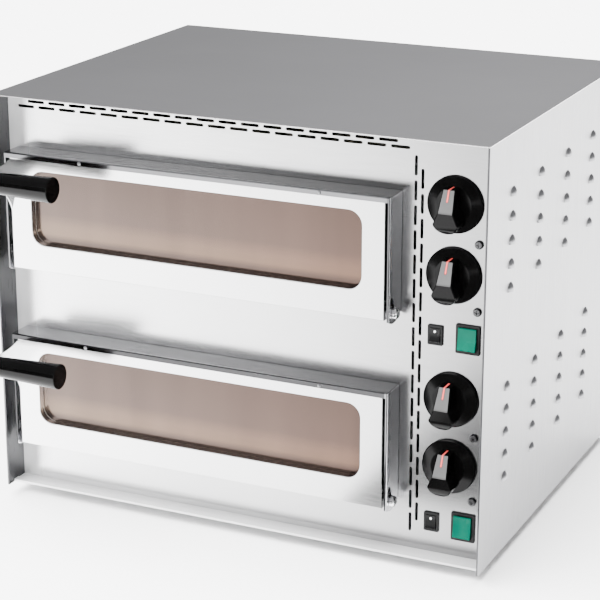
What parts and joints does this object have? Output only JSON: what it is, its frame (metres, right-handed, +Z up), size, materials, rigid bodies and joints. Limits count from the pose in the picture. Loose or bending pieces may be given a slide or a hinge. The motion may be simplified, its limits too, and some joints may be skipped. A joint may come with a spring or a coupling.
{
  "type": "countertop pizza oven",
  "caption": "Stainless box oven with two stacked baking decks, a drop-down window door with a side handle on each, and a strip of heat knobs and rocker switches at the right.",
  "frame": {"origin": "middle of the oven's footprint at table level, handles and cord gland included", "axes": "+X to the user's right, +Y from the doors to the back, +Z up; the doors face -Y"},
  "size_m": [0.558, 0.5174, 0.45],
  "materials": {
    "casing_steel": "satin, fine straight grain",
    "door_steel": "bright, fine grain",
    "galvanised_steel": "dull zinc",
    "chamber_steel": "dull aluminised",
    "bright_screw_steel": "polished",
    "spindle_steel": "satin",
    "lug_steel": "dark satin",
    "thermostat_metal": "dull zinc",
    "copper_capillary": "dull copper",
    "rivet_aluminium": "satin",
    "brass_nut": "satin",
    "element_sheath": "heat-darkened, matte",
    "cordierite": "matte",
    "mineral_wool": "matte",
    "lamp_ceramic": "matte",
    "terminal_ceramic": "matte",
    "lamp_glass": "clear",
    "window_glass": "clear, slightly bronze",
    "gasket_fibre": "matte woven",
    "handle_plastic": "gloss",
    "knob_plastic": "satin gloss",
    "black_plastic": "satin",
    "green_rocker": "gloss, tinted clear cap",
    "foot_rubber": "matte"
  },
  "bodies": {
    "cabinet": {"base_pan": "casing_steel", "left_side_panel": "casing_steel", "right_side_panel": "casing_steel", "top_cover": "casing_steel", "rear_panel": "casing_steel", "front_panel": "casing_steel", "control_bay_partition": "galvanised_steel", "rubber_feet": "foot_rubber", "foot_screws": "bright_screw_steel", "control_panel_screws": "bright_screw_steel", "case_screws": "bright_screw_steel", "hinge_screws": "bright_screw_steel", "hinge_washers": "bright_screw_steel", "hinge_lugs": "lug_steel", "insulation_blankets": "mineral_wool", "lamp_holders": "lamp_ceramic", "lamp_glasses": "lamp_glass", "terminal_block": "terminal_ceramic", "cable_gland": "black_plastic", "bonding_stud": "brass_nut", "thermostat_bodies": "thermostat_metal", "thermostat_bulbs": "copper_capillary", "main_switch_housings": "black_plastic", "lamp_switch_housings": "black_plastic", "lower_chamber_shell": "chamber_steel", "lower_baking_stone": "cordierite", "lower_bottom_element": "element_sheath", "lower_top_element": "element_sheath", "upper_chamber_shell": "chamber_steel", "upper_baking_stone": "cordierite", "upper_bottom_element": "element_sheath", "upper_top_element": "element_sheath"},
    "lower_door": {"lower_door_hood": "door_steel", "lower_door_panel": "door_steel", "lower_door_liner": "chamber_steel", "lower_door_glass_gasket": "gasket_fibre", "lower_door_window_glass": "window_glass", "lower_door_handle": "handle_plastic", "lower_door_handle_screw": "bright_screw_steel", "lower_door_rivets": "rivet_aluminium"},
    "lower_bottom_heat_control": {"lower_bottom_heat_knob": "knob_plastic", "lower_bottom_heat_spindle": "spindle_steel"},
    "lower_top_heat_control": {"lower_top_heat_knob": "knob_plastic", "lower_top_heat_spindle": "spindle_steel"},
    "lower_main_switch_rocker": {"lower_main_rocker": "green_rocker"},
    "lower_lamp_switch_rocker": {"lower_lamp_rocker": "black_plastic"},
    "upper_door": {"upper_door_hood": "door_steel", "upper_door_panel": "door_steel", "upper_door_liner": "chamber_steel", "upper_door_glass_gasket": "gasket_fibre", "upper_door_window_glass": "window_glass", "upper_door_handle": "handle_plastic", "upper_door_handle_screw": "bright_screw_steel", "upper_door_rivets": "rivet_aluminium"},
    "upper_bottom_heat_control": {"upper_bottom_heat_knob": "knob_plastic", "upper_bottom_heat_spindle": "spindle_steel"},
    "upper_top_heat_control": {"upper_top_heat_knob": "knob_plastic", "upper_top_heat_spindle": "spindle_steel"},
    "upper_main_switch_rocker": {"upper_main_rocker": "green_rocker"},
    "upper_lamp_switch_rocker": {"upper_lamp_rocker": "black_plastic"}
  },
  "joints": [
    {"name": "lower_door_hinge", "type": "hinge", "parent": "cabinet", "child": "lower_door", "pos_m": [-0.0436, -0.18325, 0.0695], "axis": [1, 0, 0], "range_deg": [0, 85]},
    {"name": "lower_bottom_heat_turn", "type": "hinge", "parent": "cabinet", "child": "lower_bottom_heat_control", "pos_m": [0.23, -0.16425, 0.1105], "axis": [0, 1, 0], "range_deg": [0, 300]},
    {"name": "lower_top_heat_turn", "type": "hinge", "parent": "cabinet", "child": "lower_top_heat_control", "pos_m": [0.23, -0.16425, 0.1817], "axis": [0, 1, 0], "range_deg": [0, 300]},
    {"name": "lower_main_switch_tilt", "type": "hinge", "parent": "cabinet", "child": "lower_main_switch_rocker", "pos_m": [0.2463, -0.16325, 0.0467], "axis": [1, 0, 0], "range_deg": [0, 14]},
    {"name": "lower_lamp_switch_tilt", "type": "hinge", "parent": "cabinet", "child": "lower_lamp_switch_rocker", "pos_m": [0.2122, -0.16375, 0.0467], "axis": [1, 0, 0], "range_deg": [0, 14]},
    {"name": "upper_door_hinge", "type": "hinge", "parent": "cabinet", "child": "upper_door", "pos_m": [-0.0436, -0.18325, 0.2695], "axis": [1, 0, 0], "range_deg": [0, 85]},
    {"name": "upper_bottom_heat_turn", "type": "hinge", "parent": "cabinet", "child": "upper_bottom_heat_control", "pos_m": [0.23, -0.16425, 0.3105], "axis": [0, 1, 0], "range_deg": [0, 300]},
    {"name": "upper_top_heat_turn", "type": "hinge", "parent": "cabinet", "child": "upper_top_heat_control", "pos_m": [0.23, -0.16425, 0.3817], "axis": [0, 1, 0], "range_deg": [0, 300]},
    {"name": "upper_main_switch_tilt", "type": "hinge", "parent": "cabinet", "child": "upper_main_switch_rocker", "pos_m": [0.2463, -0.16325, 0.2467], "axis": [1, 0, 0], "range_deg": [0, 14]},
    {"name": "upper_lamp_switch_tilt", "type": "hinge", "parent": "cabinet", "child": "upper_lamp_switch_rocker", "pos_m": [0.2122, -0.16375, 0.2467], "axis": [1, 0, 0], "range_deg": [0, 14]}
  ]
}
